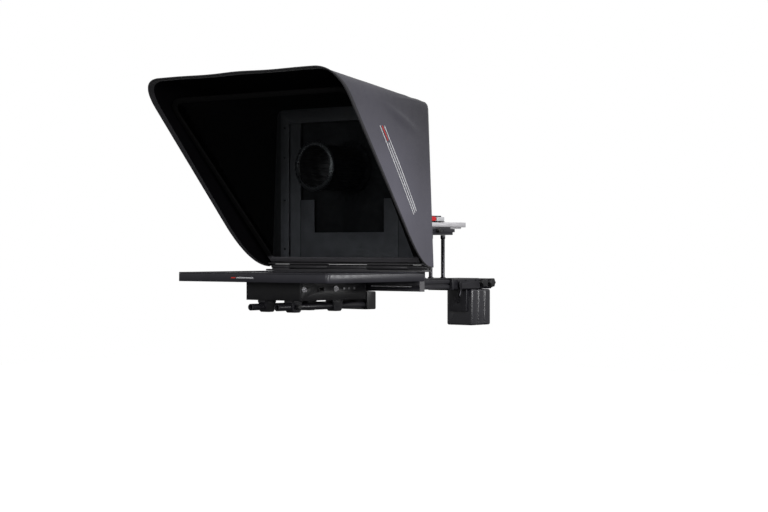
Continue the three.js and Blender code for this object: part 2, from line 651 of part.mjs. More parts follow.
function buildCounterweight() {
  const { halfWidth, bottomZ, topZ, frontY, rearY } = sleeve;
  const { grow } = collar;
  const body = extrudeY(roundedRect(-halfWidth, bottomZ, halfWidth, topZ, 5), frontY - 1, rearY);
  const rim = extrudeY(roundedRect(-halfWidth - grow, bottomZ - grow, halfWidth + grow, topZ + grow, 5),
    collar.frontY, frontY);
  const railHalf = rail.halfWidth + gap;
  const passage = cuboid(-railHalf, railHalf, collar.frontY - 1, rearY - 6, -gap, rail.height + gap);
  const leverHole = cylinderX(3 + gap, rail.halfWidth, halfWidth + 3, sleeveLever.y, sleeveLever.z, 16);
  place("weight_sleeve", cut(join(body, rim), passage, leverHole), blackMetal());

  const arm = extrudeX(outline([
    [-7, 4], [-7, -6], [-4, -16], [-4, -26], [-9, -38], [-3, -43],
    [4, -38], [6, -26], [5, -14], [7, -6], [7, 4], [0, 8],
  ]), 0, 8, 1.2);
  place("rail_lever", join(arm, cylinderX(3, -5, 1, 0, 0, 16)), darkSteel(),
    halfWidth + gap, sleeveLever.y, sleeveLever.z);

  const reach = cuboid(-bar.halfWidth, bar.halfWidth, rearY + gap, bar.rearY, bar.bottomZ, bar.topZ);
  const tail = cylinderY(5, bar.rearY - 1, bar.rearY + 10, 0, 6, 12);
  place("weight_bar", join(reach, tail), blackMetal());

  barClamps.forEach((y, index) => {
    const { halfWidth: half, halfLength, bottomZ: low, topZ: high, screwZ } = barClamp;
    const clamp = extrudeY(roundedRect(-half, low, half, high, 7), y - halfLength, y + halfLength, 1.5);
    const slotHalf = bar.halfWidth + gap;
    const slot = cuboid(-slotHalf, slotHalf, y - 30, y + 30, bar.bottomZ - gap, bar.topZ + gap);
    const hole = cylinderX(3 + gap, 24, 40, y, screwZ, 16);
    place(`bar_clamp_${index + 1}`, cut(clamp, slot, hole), blackMetal());
    place(`bar_knob_${index + 1}`, knob(15, 14, 3, 9), blackPlastic(), half + gap, y, screwZ);
  });

  const { halfWidth: slabHalf, topZ: slabTop, bottomZ: slabBottom, thickness, corner, edge } = slab;
  const { firstY, pitch, count } = slabRow;
  const boltHole = (y0, y1) => cylinderY(bolt.radius + gap, y0, y1, 0, bolt.z, 16);
  for (let i = 0; i < count; i += 1) {
    const y = firstY + i * pitch;
    const face = roundedRect(-slabHalf, slabBottom, slabHalf, slabTop, corner);
    const block = extrudeY(face, y, y + thickness, edge, 4, 3);
    place(`weight_slab_${i + 1}`, cut(block, boltHole(y - 1, y + thickness + 1)), darkSteel());
  }

  const bracketY = [firstY - 9, firstY - 1];
  const bracket = extrudeY(roundedRect(-34, -74, 34, bottomZ - gap, 4), ...bracketY);
  place("weight_bracket", cut(bracket, boltHole(bracketY[0] - 1, bracketY[1] + 1)), blackMetal());

  const lastY = firstY + (count - 1) * pitch + thickness;
  const head = knob(14, 14, bolt.radius, lastY + 1 - bracketY[0]).rotateZ(Math.PI / 2);
  place("weight_bolt", head, darkSteel(), 0, lastY + 1, bolt.z);
}

buildRail();
buildMonitor();
buildElectronicsBox();
buildRodClamps();
buildCrossBeam();
buildHinge();
buildHoodSkins();
buildRearWall();
buildGlass();
buildRiser();
buildCameraPlate();
buildCounterweight();

export default group;
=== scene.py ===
"""Looks for the teleprompter: hood cloth, glass, curtain, finishes and small fastenings on the CAD frame.

Metres, in the CAD's own frame: +Z up, +Y back towards the camera, -Y towards the reader.
"""
import json
import math

import bmesh
import bpy
from mathutils import Matrix, Vector, noise


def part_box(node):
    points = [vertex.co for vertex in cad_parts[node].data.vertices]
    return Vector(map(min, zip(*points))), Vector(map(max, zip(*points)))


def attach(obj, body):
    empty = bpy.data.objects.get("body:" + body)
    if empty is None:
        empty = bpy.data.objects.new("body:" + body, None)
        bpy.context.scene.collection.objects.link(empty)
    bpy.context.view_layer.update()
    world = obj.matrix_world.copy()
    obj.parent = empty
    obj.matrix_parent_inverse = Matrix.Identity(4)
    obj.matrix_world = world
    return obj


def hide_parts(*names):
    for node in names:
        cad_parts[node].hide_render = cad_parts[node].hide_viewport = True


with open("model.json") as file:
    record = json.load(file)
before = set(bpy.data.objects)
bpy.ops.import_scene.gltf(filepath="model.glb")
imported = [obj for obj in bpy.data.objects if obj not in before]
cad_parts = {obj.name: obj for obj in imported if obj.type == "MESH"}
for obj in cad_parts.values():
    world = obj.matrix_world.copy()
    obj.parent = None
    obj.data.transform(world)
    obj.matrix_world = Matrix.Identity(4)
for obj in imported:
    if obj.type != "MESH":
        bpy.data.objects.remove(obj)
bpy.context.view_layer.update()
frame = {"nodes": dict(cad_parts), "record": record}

SCENE = bpy.context.scene
NODES = frame["nodes"]

# Cloth and print, in metres.
HOOD_ROWS = 56
HOOD_COLUMNS = 200
# Rows along the hood's front edge that take the hem paint, which is painted light on the lining side.
HEM_AND_LIGHT_ROWS = 2
LAMINATE = 0.0028
FOLD_HEIGHT = 0.008
ROLL_HEIGHT = 0.004
HOLE_RADIUS = 0.0632
CURTAIN_LAP = 0.008         # how far the curtain reaches behind the panel round its opening
HOOD_STRIPES = ((0.71, 0.250), (0.63, 0.137))      # (depth, share) where the middle stripe starts and ends
STRIPE_PITCH = 0.032        # in shares of the hood's depth
STRIPE_WIDTH = 0.0026
STRIPE_LIFT = 0.0012
RED_SHARE = 0.16            # how much of the middle stripe is red


# ---------------------------------------------------------------- camera, light and stage

def add_camera():
    """A long lens just above the rail's height, looking across the reader's side and the right side."""
    azimuth = math.radians(39.0)
    pitch = math.radians(-0.296)
    data = bpy.data.cameras.new("camera")
    data.sensor_width = 36.0
    data.lens = 86.72
    camera = bpy.data.objects.new("camera", data)
    camera.location = (3.509, -4.396, 0.1325)
    look = Vector((-math.sin(azimuth), math.cos(azimuth), math.tan(pitch)))
    camera.rotation_euler = look.to_track_quat("-Z", "Y").to_euler()
    SCENE.collection.objects.link(camera)
    SCENE.camera = camera


def add_world():
    """White behind everything; for light, brighter overhead than underneath."""
    world = bpy.data.worlds.new("studio")
    world.use_nodes = True
    SCENE.world = world
    tree = world.node_tree
    tree.nodes.clear()
    coords = tree.nodes.new("ShaderNodeTexCoord")
    split = tree.nodes.new("ShaderNodeSeparateXYZ")
    tree.links.new(coords.outputs["Generated"], split.inputs[0])
    height = tree.nodes.new("ShaderNodeMapRange")
    height.inputs["From Min"].default_value = -0.5
    height.inputs["From Max"].default_value = 0.9
    height.inputs["To Min"].default_value = 0.03
    height.inputs["To Max"].default_value = 0.55
    tree.links.new(split.outputs["Z"], height.inputs["Value"])
    light = tree.nodes.new("ShaderNodeBackground")
    light.inputs["Color"].default_value = (1, 1, 1, 1)
    tree.links.new(height.outputs[0], light.inputs["Strength"])
    seen = tree.nodes.new("ShaderNodeBackground")
    seen.inputs["Color"].default_value = (1, 1, 1, 1)
    path = tree.nodes.new("ShaderNodeLightPath")
    mix = tree.nodes.new("ShaderNodeMixShader")
    tree.links.new(path.outputs["Is Camera Ray"], mix.inputs[0])
    tree.links.new(light.outputs[0], mix.inputs[1])
    tree.links.new(seen.outputs[0], mix.inputs[2])
    output = tree.nodes.new("ShaderNodeOutputWorld")
    tree.links.new(mix.outputs[0], output.inputs[0])


def add_area_light(name, location, target, size, power):
    data = bpy.data.lights.new(name, "AREA")
    data.shape = "RECTANGLE"
    data.size, data.size_y = size
    data.energy = power
    light = bpy.data.objects.new(name, data)
    light.location = location
    look = Vector(target) - Vector(location)
    light.rotation_euler = look.to_track_quat("-Z", "Y").to_euler()
    light.visible_camera = False
    SCENE.collection.objects.link(light)


def add_lights():
    add_area_light("side_softbox", (2.1, -1.3, 1.0), (0.3, -0.5, 0.2), (0.8, 0.8), 20)
    add_area_light("tail_softbox", (2.4, 0.9, 0.5), (0, 0.35, 0.0), (0.8, 1.0), 24)
    add_area_light("camera_side_strip", (3.55, -2.6, 0.5), (0, -0.3, 0.1), (0.5, 1.8), 40)
    add_area_light("front_softbox", (0.2, -4.2, 0.7), (0, -0.2, 0.3), (2.4, 1.4), 28)
    add_area_light("overhead_softbox", (0.8, 1.6, 3.0), (0, 0.1, 0.1), (2.6, 1.6), 16)


def add_floor():
    """The plain pale floor, well below the held-up object; it shows as studio white."""
    depth = -1.3
    reach = 14.0
    mesh = bpy.data.meshes.new("floor")
    corners = [(x * reach, y * reach, depth) for x, y in ((-1, -1), (1, -1), (1, 1), (-1, 1))]
    mesh.from_pydata(corners, [], [(0, 1, 2, 3)])
    floor = bpy.data.objects.new("floor", mesh)
    SCENE.collection.objects.link(floor)
    paint = bpy.data.materials.new("floor_white")
    paint.use_nodes = True
    shader = paint.node_tree.nodes["Principled BSDF"]
    shader.inputs["Base Color"].default_value = (0.85, 0.85, 0.85, 1)
    shader.inputs["Roughness"].default_value = 0.9
    shader.inputs["Emission Color"].default_value = (1, 1, 1, 1)
    shader.inputs["Emission Strength"].default_value = 1.0
    mesh.materials.append(paint)
    floor.visible_diffuse = False
    floor.visible_glossy = False
    floor.visible_transmission = False


# ---------------------------------------------------------------- material helpers

class Paint:
    """A procedural material: a Principled shader with helpers for the textures that drive it."""

    def __init__(self, name, color, roughness, metallic=0.0, specular=0.5):
        self.material = bpy.data.materials.new(name)
        self.material.use_nodes = True
        self.tree = self.material.node_tree
        self.shader = self.tree.nodes["Principled BSDF"]
        self.shader.inputs["Base Color"].default_value = (*color, 1)
        self.shader.inputs["Roughness"].default_value = roughness
        self.shader.inputs["Metallic"].default_value = metallic
        self.shader.inputs["Specular IOR Level"].default_value = specular
        self.coords = self.tree.nodes.new("ShaderNodeTexCoord").outputs["Object"]
        self.bumped = None

    def node(self, kind, **inputs):
        made = self.tree.nodes.new(kind)
        for name, value in inputs.items():
            socket = made.inputs[name.replace("_", " ")]
            if isinstance(value, bpy.types.NodeSocket):
                self.tree.links.new(value, socket)
            else:
                socket.default_value = value
        return made

    def stretched(self, scale):
        """The coordinates scaled by a different amount along each axis."""
        return self.node("ShaderNodeMapping", Vector=self.coords, Scale=scale).outputs[0]

    def noise(self, scale, detail=3.0, vector=None):
        source = self.coords if vector is None else vector
        made = self.node("ShaderNodeTexNoise", Vector=source, Scale=scale, Detail=detail)
        return made.outputs["Fac"]

    def spread(self, value, low, high, start=0.3, end=0.7):
        """A texture's middle range mapped to low..high."""
        made = self.node("ShaderNodeMapRange", Value=value)
        for name, number in (("From Min", start), ("From Max", end), ("To Min", low), ("To Max", high)):
            made.inputs[name].default_value = number
        return made.outputs[0]

    def vary_color(self, value, dark, light):
        mix = self.node("ShaderNodeMix")
        mix.data_type = "RGBA"
        self.tree.links.new(value, mix.inputs[0])
        mix.inputs[6].default_value = (*dark, 1)
        mix.inputs[7].default_value = (*light, 1)
        self.tree.links.new(mix.outputs[2], self.shader.inputs["Base Color"])
        return self

    def vary_roughness(self, value, low, high):
        self.tree.links.new(self.spread(value, low, high), self.shader.inputs["Roughness"])
        return self

    def multiply_color(self, value):
        """Scales whatever drives the base colour by a texture value."""
        mix = self.node("ShaderNodeMix")
        mix.data_type = "RGBA"
        mix.blend_type = "MULTIPLY"
        mix.inputs[0].default_value = 1.0
        base = self.shader.inputs["Base Color"]
        self.tree.links.new(base.links[0].from_socket, mix.inputs[6])
        self.tree.links.new(value, mix.inputs[7])
        self.tree.links.new(mix.outputs[2], base)
        return self

    def along(self, axis, start, end, low, high):
        """A smooth ramp along one axis of the object, low before start and high after end."""
        split = self.node("ShaderNodeSeparateXYZ", Vector=self.coords)
        made = self.node("ShaderNodeMapRange", Value=split.outputs[axis])
        made.interpolation_type = "SMOOTHSTEP"
        for name, number in (("From Min", start), ("From Max", end), ("To Min", low), ("To Max", high)):
            made.inputs[name].default_value = number
        return made.outputs[0]

    def bump(self, height, depth):
        """Adds a bump of that depth in metres on top of any earlier one."""
        made = self.node("ShaderNodeBump", Height=height, Distance=depth)
        made.inputs["Strength"].default_value = 1.0
        if self.bumped is not None:
            self.tree.links.new(self.bumped, made.inputs["Normal"])
        self.bumped = made.outputs[0]
        self.tree.links.new(self.bumped, self.shader.inputs["Normal"])
        return self


def scaled(color, factor):
    return tuple(channel * factor for channel in color)


def coated_metal(name, color, roughness, grain, depth, metallic=0.0):
    """Anodised or powder-coated metal: a fine even grain, with slow changes of tone and gloss."""
    paint = Paint(name, color, roughness, metallic)
    cloud = paint.noise(9.0, 4.0)
    paint.vary_color(paint.spread(cloud, 0, 1), scaled(color, 0.82), scaled(color, 1.2))
    paint.vary_roughness(paint.noise(60.0, 5.0), roughness - 0.06, roughness + 0.08)
    paint.bump(paint.noise(grain, 2.0), depth)
    return paint


def brushed_metal(name, color, roughness, stretch, metallic=1.0):
    """Metal with fine drawn lines; stretch is small along the direction of the lines."""
    paint = Paint(name, color, roughness, metallic)
    lines = paint.noise(1.0, 3.0, paint.stretched(stretch))
    paint.vary_color(paint.spread(lines, 0, 1), scaled(color, 0.8), scaled(color, 1.15))
    paint.vary_roughness(lines, roughness - 0.08, roughness + 0.1)
    paint.bump(lines, 0.00002)
    return paint


def moulded_plastic(name, color, roughness, depth=0.00003):
    paint = Paint(name, color, roughness)
    paint.vary_color(paint.spread(paint.noise(25.0), 0, 1), scaled(color, 0.85), scaled(color, 1.15))
    paint.vary_roughness(paint.noise(150.0), roughness - 0.05, roughness + 0.07)
    paint.bump(paint.noise(1800.0, 2.0), depth)
    return paint


def woven_cloth(name, color, pitch, depth, sheen, roughness=0.85, specular=0.25):
    """Plain weave: warp and weft ridges at one pitch, uneven in tone, with fuzz that catches light."""
    paint = Paint(name, color, roughness, specular=specular)
    waves = []
    for direction in ("X", "Y", "Z"):
        scale = math.pi / (10 * pitch)
        wave = paint.node("ShaderNodeTexWave", Vector=paint.coords, Scale=scale, Distortion=0.6)
        wave.wave_type = "BANDS"
        wave.bands_direction = direction
        wave.inputs["Detail Scale"].default_value = 3.0
        waves.append(wave.outputs["Fac"])
    pair = paint.node("ShaderNodeMath")
    pair.operation = "MAXIMUM"
    paint.tree.links.new(waves[0], pair.inputs[0])
    paint.tree.links.new(waves[1], pair.inputs[1])
    every = paint.node("ShaderNodeMath")
    every.operation = "MAXIMUM"
    paint.tree.links.new(pair.outputs[0], every.inputs[0])
    paint.tree.links.new(waves[2], every.inputs[1])
    tone = paint.spread(paint.noise(5.0, 6.0), 0, 1)
    paint.vary_color(tone, scaled(color, 0.86), scaled(color, 1.14))
    paint.vary_roughness(paint.noise(40.0, 4.0), roughness - 0.08, roughness + 0.1)
    paint.bump(every.outputs[0], depth)
    paint.bump(paint.noise(14.0, 5.0), depth * 4)
    paint.shader.inputs["Sheen Weight"].default_value = sheen
    paint.shader.inputs["Sheen Roughness"].default_value = 0.5
    return paint


def hood_cloth():
    """The hood's outer laminate, with tone ramps of painted light and shade: lighter towards the mouth and
    low down, darker towards the rear and high up.
    """
    paint = woven_cloth("hood_fabric", (0.073, 0.0705, 0.09), 0.0011, 0.00012, 0.15)
    paint.multiply_color(paint.along("Y", -0.55, -0.24, 1.2, 0.68))
    return paint.multiply_color(paint.along("Z", 0.2, 0.56, 1.35, 0.55))


def wall_panel():
    """The rear wall's matt panels, with tone ramps: darker at both sides, and painted shade that darkens
    them high up, where the hood shades them.
    """
    paint = moulded_plastic("grey_panel", (0.075, 0.073, 0.08), 0.55, 0.00006)
    for start, end, low, high in ((-0.268, -0.264, 0.12, 1.0), (0.264, 0.268, 1.0, 0.12)):
        paint.multiply_color(paint.along("X", start, end, low, high))
    return paint.multiply_color(paint.along("Z", 0.12, 0.45, 1.1, 0.3))


def pane_frame():
    """The splitter's frame, with painted shade: a tone ramp darkens it to near black above its grey foot,
    where the hood shades it.
    """
    paint = woven_cloth("pane_frame", (0.075, 0.073, 0.08), 0.0005, 0.00002, 0.0, 0.8, 0.1)
    return paint.multiply_color(paint.along("Z", 0.098, 0.106, 1.0, 0.025))


def slab_paint():
    """The weights' smooth black enamel, with a clear gloss over it."""
    paint = coated_metal("slab_paint", (0.02, 0.0195, 0.025), 0.3, 900.0, 0.000008)
    paint.shader.inputs["Coat Weight"].default_value = 1.0
    paint.shader.inputs["Coat Roughness"].default_value = 0.12
    return paint


def screen_glass():
    """The dark display behind a faintly smudged anti-glare face."""
    paint = Paint("screen_glass", (0.006, 0.006, 0.008), 0.12, specular=0.5)
    smudge = paint.noise(7.0, 6.0)
    paint.vary_color(paint.spread(smudge, 0, 1), (0.005, 0.005, 0.007), (0.009, 0.009, 0.012))
    paint.vary_roughness(smudge, 0.07, 0.2)
    paint.bump(paint.noise(2500.0, 1.0), 0.000004)
    return paint


def beam_splitter():
    """Part-silvered pane: mostly clear and a little grey, with a soft mirror on top."""
    paint = Paint("beam_splitter", (0.02, 0.022, 0.024), 0.02)
    tree = paint.tree
    clear = tree.nodes.new("ShaderNodeBsdfTransparent")
    clear.inputs["Color"].default_value = (0.9, 0.92, 0.93, 1)
    mirror = tree.nodes.new("ShaderNodeBsdfGlossy")
    mirror.inputs["Color"].default_value = (0.6, 0.63, 0.65, 1)
    dust = paint.spread(paint.noise(30.0, 6.0), 0.015, 0.05)
    tree.links.new(dust, mirror.inputs["Roughness"])
    facing = tree.nodes.new("ShaderNodeFresnel")
    facing.inputs["IOR"].default_value = 1.12
    mix = tree.nodes.new("ShaderNodeMixShader")
    tree.links.new(facing.outputs[0], mix.inputs[0])
    tree.links.new(clear.outputs[0], mix.inputs[1])
    tree.links.new(mirror.outputs[0], mix.inputs[2])
    tree.links.new(mix.outputs[0], tree.nodes["Material Output"].inputs["Surface"])
    return paint


def circuit_board():
    paint = Paint("circuit_board", (0.02, 0.12, 0.05), 0.4)
    cells = paint.node("ShaderNodeTexVoronoi", Vector=paint.coords, Scale=220.0)
    cells.feature = "DISTANCE_TO_EDGE"
    tracks = paint.spread(cells.outputs["Distance"], 1, 0, 0.02, 0.06)
    paint.vary_color(tracks, (0.015, 0.1, 0.04), (0.05, 0.22, 0.1))
    paint.bump(tracks, 0.00005)
    return paint


PAINTS = {
    "black_metal": coated_metal("black_metal", (0.016, 0.0155, 0.0195), 0.34, 1500.0, 0.00002),
    # A darker copy of the black metal for the electronics box and rod block; on the rod block it is painted
    # shade, where the prompter head shades it.
    "box_metal": coated_metal("box_metal", (0.006, 0.0058, 0.0075), 0.4, 1500.0, 0.00002),
    "cap_metal": coated_metal("cap_metal", (0.09, 0.088, 0.094), 0.4, 1500.0, 0.00002),
    "charcoal_metal": coated_metal("charcoal_metal", (0.021, 0.0205, 0.0265), 0.34, 900.0, 0.00003),
    # The hinge and sill paint is lighter than the other black metal: painted light that lifts them inside
    # the hood's shade.
    "hinge_metal": coated_metal("hinge_metal", (0.045, 0.044, 0.048), 0.38, 900.0, 0.00003),
    "slab_paint": slab_paint(),
    "pane_frame": pane_frame(),
    "ring_plastic": moulded_plastic("ring_plastic", (0.012, 0.012, 0.013), 0.28),
    "print_pale": moulded_plastic("print_pale", (0.6, 0.6, 0.62), 0.6),
    "print_red": moulded_plastic("print_red", (0.6, 0.03, 0.02), 0.6),
    "dark_steel": brushed_metal("dark_steel", (0.05, 0.049, 0.055), 0.3, (900.0, 900.0, 25.0)),
    "bright_aluminium": brushed_metal("bright_aluminium", (0.8, 0.79, 0.82), 0.4,
                                      (1200.0, 30.0, 1200.0), 0.6),
    "black_plastic": moulded_plastic("black_plastic", (0.013, 0.013, 0.014), 0.45),
    "grey_plastic": moulded_plastic("grey_plastic", (0.55, 0.55, 0.57), 0.4),
    "red_plastic": moulded_plastic("red_plastic", (0.62, 0.015, 0.02), 0.3),
    "hood_fabric": hood_cloth(),
    # Hem paint: darker than the outer cloth on the outside of the front edge and on the piping; on the
    # lining just inside the edge it is painted light, where the lip catches light from below.
    "hem_and_painted_light": woven_cloth("hem_and_painted_light", (0.018, 0.0175, 0.02), 0.0009, 0.0001, 0.1),
    "black_fabric": woven_cloth("black_fabric", (0.0024, 0.0022, 0.0028), 0.0012, 0.0001, 0.0, 1.0, 0.02),
    "curtain_cloth": woven_cloth("curtain_cloth", (0.005, 0.0048, 0.0056), 0.0012, 0.0001, 0.0, 0.7, 0.2),
    "grey_panel": wall_panel(),
    "screen_glass": screen_glass(),
    "beam_splitter": beam_splitter(),
    "circuit_board": circuit_board(),
}


def finish_of(slot):
    return PAINTS[slot].material


# ---------------------------------------------------------------- CAD nodes

SLOT_OF = {row["node"]: row["material_slot"] for row in frame["record"]["subparts"]}
SPECIAL_FINISH = {
    "glass_frame": "pane_frame",
    "lens_ring": "ring_plastic",
    # The electronics box and rod block take the darker box paint; on the rod block this is painted shade.
    "electronics_box": "box_metal",
    "rod_block": "box_metal",
    # The hinge base and sill take the lighter hinge paint, painted light inside the hood's shade.
    "hinge_base": "hinge_metal",
    "hood_sill": "hinge_metal",
    "weight_slab_1": "slab_paint",
    "weight_slab_2": "slab_paint",
    "weight_slab_3": "slab_paint",
}
FINE_NODES = {"lcd_panel", "beam_splitter_glass", "controller_board", "hinge_pin"}


def soften_edges(node, width):
    """Rounds a faceted node's edges without touching its mesh: weld, merge flat faces, then bevel."""
    node.modifiers.new("weld", "WELD").merge_threshold = 0.00001
    flat = node.modifiers.new("flat_faces", "DECIMATE")
    flat.decimate_type = "DISSOLVE"
    flat.angle_limit = math.radians(1.0)
    bevel = node.modifiers.new("edges", "BEVEL")
    bevel.width = width
    bevel.segments = 2
    bevel.limit_method = "ANGLE"
    bevel.angle_limit = math.radians(32)
    bevel.harden_normals = True
    for face in node.data.polygons:
        face.use_smooth = True


def dress_cad_nodes():
    for name, node in NODES.items():
        node.data.materials.clear()
        node.data.materials.append(finish_of(SPECIAL_FINISH.get(name, SLOT_OF[name])))
        if name not in FINE_NODES:
            low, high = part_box(name)
            thinnest = min(high[axis] - low[axis] for axis in range(3))
            soften_edges(node, min(0.0008, 0.12 * thinnest))


# ---------------------------------------------------------------- mesh helpers

def add_mesh(name, points, faces, body, slot, smooth=True):
    mesh = bpy.data.meshes.new(name)
    mesh.from_pydata(points, [], faces)
    made = bmesh.new()
    made.from_mesh(mesh)
    bmesh.ops.recalc_face_normals(made, faces=made.faces)
    made.to_mesh(mesh)
    made.free()
    piece = bpy.data.objects.new(name, mesh)
    SCENE.collection.objects.link(piece)
    mesh.materials.append(finish_of(slot))
    for face in mesh.polygons:
        face.use_smooth = smooth
    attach(piece, body)
    return piece


def tube_faces(rings, sides):
    """Quads between neighbouring rings of points, with a flat cap on each end."""
    faces = []
    for ring in range(rings - 1):
        here = ring * sides
        ahead = here + sides
        for j in range(sides):
            turn = (j + 1) % sides
            faces.append((here + j, here + turn, ahead + turn, ahead + j))
    faces.append(tuple(range(sides)))
    faces.append(tuple((rings - 1) * sides + j for j in range(sides)))
    return faces


def grid(point, rows, columns):
    """Points and quads of an open sheet point(row, column), both from 0 to 1."""
    points = [point(i / rows, j / columns) for i in range(rows + 1) for j in range(columns + 1)]
    wide = columns + 1
    faces = [(i * wide + j, (i + 1) * wide + j, (i + 1) * wide + j + 1, i * wide + j + 1)
             for i in range(rows) for j in range(columns)]
    return points, faces


def plate(name, low, high, bevel, body, slot):
    """A block between two corners with rounded edges."""
    made = bmesh.new()
    bmesh.ops.create_cube(made, size=1.0)
    size = Vector(high) - Vector(low)
    middle = (Vector(high) + Vector(low)) / 2
    placed = Matrix.Translation(middle) @ Matrix.Diagonal((*size, 1))
    bmesh.ops.transform(made, matrix=placed, verts=made.verts)
    bmesh.ops.bevel(made, geom=made.edges[:], offset=bevel, segments=3, profile=0.5, affect="EDGES")
    mesh = bpy.data.meshes.new(name)
    made.to_mesh(mesh)
    made.free()
    piece = bpy.data.objects.new(name, mesh)
    SCENE.collection.objects.link(piece)
    mesh.materials.append(finish_of(slot))
    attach(piece, body)
    return piece


def bead(name, path, radius, body, slot, sides=10):
    """A closed round bead along a path of points."""
    points = []
    count = len(path)
    for index, here in enumerate(path):
        ahead = path[min(index + 1, count - 1)]
        behind = path[max(index - 1, 0)]
        along = (ahead - behind).normalized()
        across = along.cross(Vector((0, 0.3, 1))).normalized()
        upward = across.cross(along).normalized()
        for side in range(sides):
            angle = math.tau * side / sides
            points.append(here + radius * (math.cos(angle) * across + math.sin(angle) * upward))
    faces = tube_faces(count, sides)
    return add_mesh(name, points, faces, body, slot)


# ---------------------------------------------------------------- hood

TOP_LOW, TOP_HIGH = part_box("hood_top")
FRONT_Y = TOP_LOW.y
REAR_Y = TOP_HIGH.y
CREST_Z = TOP_HIGH.z
FRONT_TIP_X = 0.370
FRONT_CORNER = 0.080
REAR_CORNER = 0.028
REAR_TOP_Z = 0.548
REAR_TOP_HALF = 0.288
REAR_FOOT_HALF = 0.308


def bezier(a, b, c, t):
    return a * (1 - t) ** 2 + b * 2 * t * (1 - t) + c * t ** 2


FOOT_CURVE = (
    Vector((0.309, -0.234, 0.0735)),
    Vector((0.327, -0.300, 0.076)),
    Vector((0.339, -0.392, 0.193)),
)
CORNER_START = Vector((0.364, -0.656, CREST_Z - FRONT_CORNER))
CORNER_TIP = Vector((FRONT_TIP_X, FRONT_Y, CREST_Z))
CORNER_END = Vector((FRONT_TIP_X - FRONT_CORNER, FRONT_Y, CREST_Z))
FOOT_SHARE = 0.35
SIDE_SHARE = 0.70


def front_rim(t):
    """The hood's front edge on the right, from its foot (0) to the end of the top corner (1)."""
    if t <= FOOT_SHARE:
        return bezier(*FOOT_CURVE, t / FOOT_SHARE)
    if t <= SIDE_SHARE:
        return FOOT_CURVE[2].lerp(CORNER_START, (t - FOOT_SHARE) / (SIDE_SHARE - FOOT_SHARE))
    return bezier(CORNER_START, CORNER_TIP, CORNER_END, (t - SIDE_SHARE) / (1 - SIDE_SHARE))


def rear_rim(t):
    side_top = Vector((REAR_TOP_HALF + 0.001, REAR_Y, REAR_TOP_Z - REAR_CORNER))
    if t <= SIDE_SHARE:
        return Vector((REAR_FOOT_HALF, REAR_Y, 0.0725)).lerp(side_top, t / SIDE_SHARE)
    tip = Vector((REAR_TOP_HALF, REAR_Y, REAR_TOP_Z))
    end = Vector((REAR_TOP_HALF - REAR_CORNER, REAR_Y, REAR_TOP_Z))
    return bezier(side_top, tip, end, (t - SIDE_SHARE) / (1 - SIDE_SHARE))


SIDE_PART = 0.4     # share of the hood's whole wrap that one side and its corner take


def wrap(rim, share):
    """A point on a whole rim: 0 is the right foot, 1 the left foot, with the top in the middle."""
    mirrored = share > 0.5
    near = 1 - share if mirrored else share
    if near <= SIDE_PART:
        point = rim(near / SIDE_PART)
    else:
        end = rim(1.0)
        across = (near - SIDE_PART) / (0.5 - SIDE_PART)
        point = Vector((end.x * (1 - across), end.y, end.z))
    if mirrored:
        point = Vector((-point.x, point.y, point.z))
    return point


def hump(value, centre, width):
    return math.exp(-((value - centre) / width) ** 2)


def hood_surface(depth, share):
    """The taut hood with the small unevenness of sewn cloth; depth is 0 at the rear and 1 at the front."""
    point = wrap(rear_rim, share).lerp(wrap(front_rim, share), depth)
    outward = Vector((point.x, 0, 0.6 * (point.z - 0.3))).normalized()
    from_top = abs(share - 0.5)
    on_top = max(0.0, 1 - from_top / (0.5 - SIDE_PART))
    free = math.sin(math.pi * min(1.0, depth * 1.02)) * min(1.0, 6 * (0.5 - from_top))
    ripple = noise.noise(Vector((point.x * 3.1, point.y * 4.3, point.z * 3.7)))
    fine = noise.noise(Vector((point.x * 11, point.y * 9 + 4, point.z * 12)))
    corner = hump(depth, 0.12, 0.12) * hump(from_top, 0.12, 0.03)
    creases = math.sin(95 * (point.y + 0.5 * abs(point.x)))
    sag = -0.0035 * on_top * math.sin(math.pi * depth)
    fold = FOLD_HEIGHT * hump(share, 0.227 + 0.086 * depth, 0.006) * hump(depth, 0.36, 0.17)
    roll = ROLL_HEIGHT * hump(share, 0.337 - 0.07 * depth, 0.007) * hump(depth, 0.16, 0.16)
    front_wave = 0.0016 * on_top * depth ** 6 * math.sin(23 * point.x + 1.1)
    shift = free * (0.0016 * ripple + 0.0005 * fine + fold + roll) + 0.0012 * corner * creases
    return point + outward * (shift - 0.0006) + Vector((0, 0, sag + front_wave))


def add_hood_shell():
    points, faces = grid(hood_surface, HOOD_ROWS, HOOD_COLUMNS)
    shell = add_mesh("hood_shell", points, faces, "hood", "hood_fabric")
    mesh = shell.data
    for slot in ("hem_and_painted_light", "black_fabric", "hem_and_painted_light"):
        mesh.materials.append(finish_of(slot))
    for face in mesh.polygons:
        # The front rows take the hem paint; the solidify offset gives their lining side the hem paint too,
        # as painted light on the lip inside the front edge.
        row = face.vertices[0] // (HOOD_COLUMNS + 1)
        face.material_index = 1 if row >= HOOD_ROWS - HEM_AND_LIGHT_ROWS else 0
    thick = shell.modifiers.new("laminate", "SOLIDIFY")
    thick.thickness = LAMINATE
    thick.offset = -1.0
    thick.material_offset = 2
    thick.material_offset_rim = 1
    rim = [wrap(front_rim, i / HOOD_COLUMNS) for i in range(HOOD_COLUMNS + 1)]
    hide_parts("hood_side_left", "hood_side_right", "hood_top")


def add_hood_trim():
    """Piping sewn round the front edge."""
    steps = 240
    path = [hood_surface(1.0, i / steps) for i in range(steps + 1)]
    bead("hood_piping", path, 0.0022, "hood", "hem_and_painted_light")


